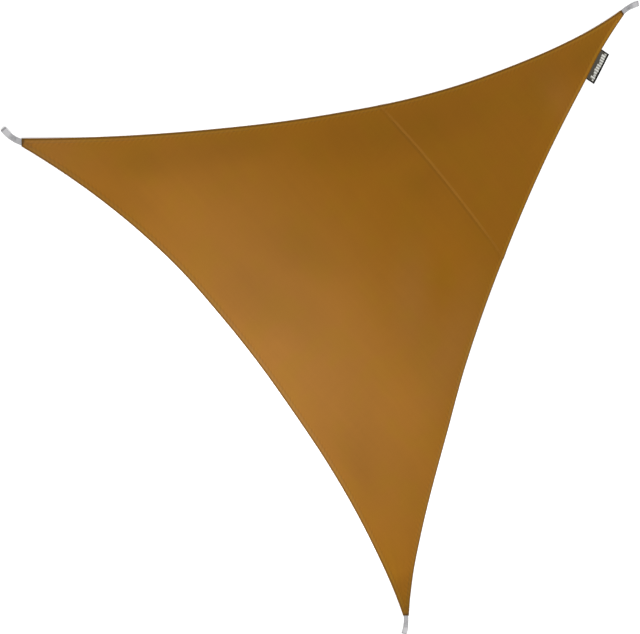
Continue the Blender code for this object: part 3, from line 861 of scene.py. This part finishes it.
WEB_WIDE = 0.024
WEB_RIBS = 12
RIB_DEEP = 0.00016
WEB_EDGE = 0.0005                           # its rounded woven edges
TAIL = 0.060
FOLD_RADIUS = 0.0036
SEWN_SHARE = 0.50                           # the plies are sewn to this share of the reach, and from the
OPEN_SHARE = 0.67                           # next one on they are parted
STRAP_POINTS = {"plan": 200, "lower": 60, "fold": 15, "upper": 90}
STRAPS = {
    "left": {"from": 150, "to": 118, "reach": 0.102, "end_shade": 0.38},
    "right": {"from": 28, "to": 4, "reach": 0.095, "end_shade": 0.54},
    "foot": {"from": -92, "to": -120, "reach": 0.087, "end_shade": 0.43},
}
WEB_COLOUR = (0.415, 0.41, 0.42, 1.0)
PICK = 0.0011                               # the weave's fine picks, swaying to and fro across the ribs
HERRINGBONE = {"across": 0.0040, "sway": 1.6}
HATCH = {"along": 0.0052, "across": 0.0070, "tone": 0.05, "start": (0.34, 0.40), "end": (0.54, 0.60)}
SEWN_SHADE = {"tone": -0.24, "span": (0.59, 0.68)}              # by the share of the reach
# where the painted shade over the fold comes in, by the share of the reach
FOLD_SPAN = (0.920, 0.960)
SIDE_SHADE = {"tone": -0.10, "span": (0.0090, 0.0110)}


def strap_plan(name, out):
    """Place and heading on a strap's plan: straight under the cloth, then turning evenly outside it."""
    strap = STRAPS[name]
    steps = np.linspace(0.0, strap["reach"], STRAP_POINTS["plan"])
    headings = strap["from"] + (strap["to"] - strap["from"]) * steps / strap["reach"]
    ways = way(headings)
    line = np.concatenate([[[0.0, 0.0]], np.cumsum((ways[1:] + ways[:-1]) / 2 * steps[1], axis=0)])
    outside = np.stack([np.interp(out, steps, line[:, axis]) for axis in (0, 1)], axis=-1)
    inside = np.minimum(out, 0.0)[..., None] * ways[0]
    return tip_place(TIPS[name]) + outside + inside, np.interp(out, steps, headings)


def strap_route(name):
    """The webbing's middle line seen from its side, tail to tail: distances out from the tip and heights.
    The upper ply rises in an S from the lower one to the fold, which is half a circle."""
    reach = STRAPS[name]["reach"]
    low = WEB_THICK / 2
    tail_high = low + WEB_THICK + PIECE_GAP
    turn = reach - FOLD_RADIUS - WEB_THICK / 2
    lower = np.linspace(-TAIL, turn, STRAP_POINTS["lower"])
    angle = np.linspace(0.0, np.pi, STRAP_POINTS["fold"])[1:-1]
    upper = np.linspace(turn, -TAIL, STRAP_POINTS["upper"])
    rise = smooth(upper, SEWN_SHARE * reach, OPEN_SHARE * reach)
    out = np.concatenate([lower, turn + FOLD_RADIUS * np.sin(angle), upper])
    high = np.concatenate([
        np.full_like(lower, low), low + FOLD_RADIUS * (1 - np.cos(angle)),
        tail_high + (low + 2 * FOLD_RADIUS - tail_high) * rise,
    ])
    return out, high


def web_section():
    """The webbing cut across: distances across and off its middle. Fine ribs run along both faces, and
    the two woven edges are rounded."""
    half = WEB_WIDE / 2 - WEB_EDGE
    across = np.linspace(-half, half, 4 * WEB_RIBS + 1)
    groove = 0.5 + 0.5 * np.cos(2 * np.pi * WEB_RIBS * (across / WEB_WIDE + 0.5))
    rib = 0.5 * WEB_THICK - RIB_DEEP * groove
    bend = np.radians([50, 0, -50])
    edge_across = half + WEB_EDGE * np.cos(bend)
    edge_off = 0.4 * WEB_THICK * np.sin(bend)
    return (np.concatenate([across, edge_across, across[::-1], -edge_across]),
            np.concatenate([rib, edge_off, -rib[::-1], -edge_off]))


def web_finish():
    """Flat-woven polyester webbing: a herringbone of fine picks on the ribs, greyer where it is sewn,
    with painted shade over the fold."""
    web = Finish("webbing")
    out, across, length = (web.stored(kept) for kept in ("out", "across", "length"))
    place = web.node("TexCoord", output="Object")
    sway = (across * (2 * np.pi / HERRINGBONE["across"])).sine() * HERRINGBONE["sway"]
    pick = (length * (2 * np.pi / PICK) + sway).sine()
    hatch = (length * (2 * np.pi / HATCH["along"]) + across * (2 * np.pi / HATCH["across"])).sine()
    tone = 1.0 + 0.06 * pick + 0.14 * (web.noise(place, 90.0) - 0.5)
    tone = tone + HATCH["tone"] * hatch * out.rising(*HATCH["start"]) * out.falling(*HATCH["end"])
    tone = tone + SEWN_SHADE["tone"] * out.falling(*SEWN_SHADE["span"])
    tone = tone + SIDE_SHADE["tone"] * across.size().rising(*SIDE_SHADE["span"])
    # painted shade over the fold at the eye's end
    tone = tone - web.stored("end_shade") * out.rising(*FOLD_SPAN)
    bump = web.node("Bump", {}, {"Height": pick, "Distance": 0.0002, "Strength": 0.7})
    web.put(Base_Color=web.toned(WEB_COLOUR, tone), Roughness=0.66 + 0.06 * pick, Normal=bump,
            Specular_IOR_Level=0.25)
    return web.material


def strap(name, finish):
    """One loop: the section carried along the route, square to it, with the tails' ends closed."""
    out, high = strap_route(name)
    across, off = web_section()
    middle, heading = strap_plan(name, out)
    ahead, side = way(heading), way(heading + 90)
    step_out, step_up = np.gradient(out), np.gradient(high)
    size = np.hypot(step_out, step_up)
    normal = np.concatenate([(-step_up / size)[:, None] * ahead, (step_out / size)[:, None]], axis=1)
    route = np.concatenate([middle, high[:, None]], axis=1)
    points = route[:, None, :] + off[None, :, None] * normal[:, None, :]
    points[..., :2] += across[None, :, None] * side[:, None, :]
    rows, columns = points.shape[:2]
    piece = new_piece(f"loop_{name}", points, quads(rows, columns, closed=True), finish)
    length = walked(np.stack([out, high], axis=1))
    keep_numbers(piece, out=np.repeat(out / STRAPS[name]["reach"], columns), across=np.tile(across, rows),
                 length=np.repeat(length, columns),
                 end_shade=np.full(rows * columns, STRAPS[name]["end_shade"]))
    work = bmesh.new()
    work.from_mesh(piece.data)
    bmesh.ops.holes_fill(work, edges=[edge for edge in work.edges if edge.is_boundary])
    bmesh.ops.recalc_face_normals(work, faces=work.faces)
    work.to_mesh(piece.data)
    work.free()
    piece.data.set_sharp_from_angle(angle=np.radians(60))
    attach(piece, "root")
    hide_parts(f"strap_{name}")


web = web_finish()
for name in STRAPS:
    strap(name, web)

# --------------------------------------------------------------------------------- The strap sewing
# Dense zigzag tacks in grey thread hold each strap's plies together outside the cloth. A box with its
# diagonals, and bars across its end, sewn in dark brown thread, hold the tails under the cloth's tip.

TACK_COLOUR = (0.37, 0.37, 0.38, 1.0)
TACK_RADIUS = 0.00028
TACK_START = 0.27                           # as a share of the reach
TACK_TURNS = 25
TACK_HALF = 0.0088                          # how far off the middle they swing
TACK_STITCHES = 5                           # in each stroke, each of them this share of the stroke long
TACK_SHARE = 0.17
BOX_COLOUR = (0.045, 0.026, 0.012, 1.0)
BOX_HALF = 0.0085
BOX_NEAR = -0.0045                          # its two ends, out from the tip
BOX_FAR = -0.046
BOX_STITCH = {"pitch": 0.0034, "gap": 0.0005}
BAR_STEP = 0.0022                           # from bar to bar across its end, and their overlap
BAR_PAST = 0.001


def strap_point(name, out, across, high):
    """Points on a strap's plan at distances out and across, at a height."""
    middle, heading = strap_plan(name, out)
    return np.concatenate([middle + across[..., None] * way(heading + 90), high[..., None]], axis=-1)


def tack_ends(name):
    """A zigzag from edge to edge of the strap's upper ply, over the second quarter of its reach."""
    reach = STRAPS[name]["reach"]
    out = np.linspace(TACK_START * reach, SEWN_SHARE * reach, TACK_TURNS)
    swing = np.where(np.arange(TACK_TURNS) % 2, TACK_HALF, -TACK_HALF)
    starts = np.arange(TACK_STITCHES) / TACK_STITCHES
    ends = []
    for share in (starts, starts + TACK_SHARE):
        far = out[:-1, None] + share * np.diff(out)[:, None]
        aside = swing[:-1, None] + share * np.diff(swing)[:, None]
        high = np.full_like(far, 2 * WEB_THICK + PIECE_GAP)
        ends.append(strap_point(name, far, aside, high).reshape(-1, 3))
    return np.stack(ends)


def box_ends(name):
    """A box over the tails, its diagonals, and four bars across its end by the tip, on the cloth's top."""
    near = BOX_NEAR - TIPS[name]["short"]
    corners = [(near, -BOX_HALF), (near, BOX_HALF), (BOX_FAR, BOX_HALF), (BOX_FAR, -BOX_HALF)]
    runs = [(corners[i], corners[(i + 1) % 4]) for i in range(4)]
    runs += [(corners[0], corners[2]), (corners[1], corners[3])]
    for k in (-1, 1, 2, 3):
        bar = near - BAR_STEP * k
        runs.append(((bar, -BOX_HALF - BAR_PAST), (bar, BOX_HALF + BAR_PAST)))
    share = np.linspace(0.0, 1.0, 20)
    parts = []
    for start, end in runs:
        out, across = (start[i] + share * (end[i] - start[i]) for i in (0, 1))
        line = strap_point(name, out, across, 0 * out)[:, :2]
        parts.append(stitch_ends(line, lambda plan: top_of(plan, name == "right"), **BOX_STITCH))
    return np.concatenate(parts, axis=1)


tack_sewing = sewn_rows("strap_tacks", np.concatenate([tack_ends(name) for name in STRAPS], axis=1),
                        thread_finish("tack_thread", TACK_COLOUR), TACK_RADIUS)
box_sewing = sewn_rows("strap_boxes", np.concatenate([box_ends(name) for name in STRAPS], axis=1),
                       thread_finish("box_thread", BOX_COLOUR))

# ----------------------------------------------------------------------------------------- The tag
# A small black woven tag, with one long side tucked under the right-hand hem near the right corner. It
# has a black border and a band of plain pale bars.

TAG_THICK = 0.0008
TAG_POINTS = (79, 34)                       # along it and out
TAG_LOW = 0.0002
TAG_CURL = {"high": 0.0012, "from": 0.015, "waves": 34.0}       # of its far side
TAG_RIBS = (0.0007, 0.0009)                 # its woven ribs, along and out
BAR_PITCH = 0.0125
BAR_SIDES = ((0.06, 0.18), (0.60, 0.22))    # shares of a pitch: where it starts, and where it ends
BAR_INNER = (0.0165, 0.0130)                # how far out it starts and ends, and what chance adds to that
BAR_OUTER = (0.0430, -0.0040)
BAR_SOFT = 0.0012
BAR_NOTCH = {"out": 0.030, "chance": 0.008, "wide": (0.0012, 0.0026), "share": 0.6}
BARS_HALF = 0.0700                          # half the row of bars
BAND_TONE = 0.34                            # the pale ground between the bars
FIELD_HALF = 0.0730                         # half the charcoal field, and how far out it goes
FIELD_REACH = 0.0440
FIELD_SOFT = 0.0005
BLACK = (0.004, 0.004, 0.004, 1.0)
CHARCOAL = (0.060, 0.054, 0.042, 1.0)
PALE = (0.54, 0.54, 0.50, 1.0)


def tag_point(along, out, high):
    """Points of the tag's plan at distances along and out from its middle on the edge."""
    middle, way_along, way_out = tag_frame()
    plan = middle + along[..., None] * way_along + out[..., None] * way_out
    return np.concatenate([plan, high[..., None]], axis=-1)


def tag_finish():
    """Satin-woven tag: fine ribs, a charcoal field by the hem, pale bars beyond it, black round them."""
    satin = Finish("tag")
    along, out = satin.stored("along"), satin.stored("out")
    rib = (along * (2 * np.pi / TAG_RIBS[0])).sine() * (out * (2 * np.pi / TAG_RIBS[1])).sine()
    number, inside = (along / BAR_PITCH).whole(), (along / BAR_PITCH).rest()
    chance = satin.node("TexWhiteNoise", {"noise_dimensions": "1D"}, {"W": number})
    second = (chance * 7.3).rest()
    bar = inside.rising(*BAR_SIDES[0])
    bar = bar * (inside - BAR_SIDES[1][0] - BAR_SIDES[1][1] * chance).falling(-0.06, 0.06)
    band = (out - BAR_INNER[0] - BAR_INNER[1] * second).rising(0.0, BAR_SOFT)
    band = band * (out - BAR_OUTER[0] - BAR_OUTER[1] * chance).falling(-BAR_SOFT, 0.0)
    band = band * along.near_zero(BARS_HALF - FIELD_SOFT, BARS_HALF + FIELD_SOFT)
    notch = out - BAR_NOTCH["out"] - BAR_NOTCH["chance"] * (chance - 0.5)
    notch = 1 - BAR_NOTCH["share"] * second * notch.near_zero(*BAR_NOTCH["wide"])
    field = out.falling(FIELD_REACH - FIELD_SOFT, FIELD_REACH + FIELD_SOFT)
    field = field * along.near_zero(FIELD_HALF - FIELD_SOFT, FIELD_HALF + FIELD_SOFT)
    pale = (BAND_TONE + (1 - BAND_TONE) * bar) * band * notch
    colour = satin.blend(pale, satin.blend(field, BLACK, CHARCOAL), PALE)
    colour = satin.toned(colour, 1.0 + 0.15 * rib)
    relief = 0.5 * rib + 1.2 * bar * band
    bump = satin.node("Bump", {}, {"Height": relief, "Distance": 0.0002, "Strength": 0.6})
    satin.put(Base_Color=colour, Roughness=0.45 + 0.05 * rib, Normal=bump, Specular_IOR_Level=0.05)
    return satin.material


def woven_tag():
    """A flat sheet, closed to a thin solid. Its far side curls up a little, in a sine along it."""
    rows, columns = TAG_POINTS
    along, out = np.meshgrid(np.linspace(-TAG_LONG / 2, TAG_LONG / 2, rows),
                             np.linspace(-TAG_TUCK, TAG_REACH, columns), indexing="ij")
    curl = smooth(out, TAG_CURL["from"], TAG_REACH) * (0.5 + 0.5 * np.sin(along * TAG_CURL["waves"] + 0.6))
    points = tag_point(along, out, TAG_LOW + TAG_CURL["high"] * curl)
    piece = new_piece("woven_tag", points, quads(rows, columns), tag_finish())
    keep_numbers(piece, along=along, out=out)
    piece.data.flip_normals()
    thicken(piece, TAG_THICK)
    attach(piece, "root")
    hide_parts("tag")
    return piece


tag = woven_tag()

# ------------------------------------------------------------------------- The floor, light and camera
# A plain pale floor, an even white surround, one broad soft light over the left edge and a weak one
# beside the right corner.

FLOOR_COLOUR = (0.94, 0.94, 0.94, 1.0)
FLOOR_HALF = 40.0
FLOOR_DROP = 0.0004                         # below the sail
LIGHTS = {
    "key": {"at": (-1.50, -0.60, 1.40), "size": 2.0, "power": 48.0},
    "fill": {"at": (1.75, 1.50, 1.00), "size": 0.6, "power": 3.2},
}
SURROUND = 1.05
CAMERA_PLACE = (-4.5943, 3.1824, 9.3919)
CAMERA_AIM = (-0.2477, 0.2388, -0.0014)
CAMERA_TURN = 113.2
CAMERA_LENS = 135.0

floor_finish = Finish("floor")
floor_finish.put(Base_Color=FLOOR_COLOUR, Roughness=0.9, Specular_IOR_Level=0.0)
floor_points = FLOOR_HALF * np.array([[-1, -1, 0], [1, -1, 0], [1, 1, 0], [-1, 1, 0]])
floor_points -= [0.0, 0.0, FLOOR_DROP]
floor = new_piece("floor", floor_points, [[0, 1, 2, 3]], floor_finish.material)


def aimed(place, aim, turn=0.0):
    """The matrix of something at a place that looks at a point, turned about its line of sight."""
    sight = (Vector(aim) - Vector(place)).to_track_quat("-Z", "Y").to_matrix().to_4x4()
    return Matrix.Translation(place) @ sight @ Matrix.Rotation(np.radians(turn), 4, "Z")


for name, light in LIGHTS.items():
    lamp = bpy.data.lights.new(name, "AREA")
    lamp.shape = "DISK"
    lamp.size = light["size"]
    lamp.energy = light["power"]
    shining = bpy.data.objects.new(name, lamp)
    shining.matrix_world = Matrix.Translation(light["at"])
    shining.visible_camera = False
    bpy.context.scene.collection.objects.link(shining)

world = bpy.data.worlds.new("surround")
world.use_nodes = True
world.node_tree.nodes["Background"].inputs["Color"].default_value = (1.0, 1.0, 1.0, 1.0)
world.node_tree.nodes["Background"].inputs["Strength"].default_value = SURROUND
bpy.context.scene.world = world
bpy.context.scene.view_settings.view_transform = "Standard"

camera_data = bpy.data.cameras.new("camera")
camera_data.sensor_width = 36.0
camera_data.lens = CAMERA_LENS
camera_data.clip_end = 100.0
camera = bpy.data.objects.new("camera", camera_data)
camera.matrix_world = aimed(CAMERA_PLACE, CAMERA_AIM, CAMERA_TURN)
bpy.context.scene.collection.objects.link(camera)
bpy.context.scene.camera = camera
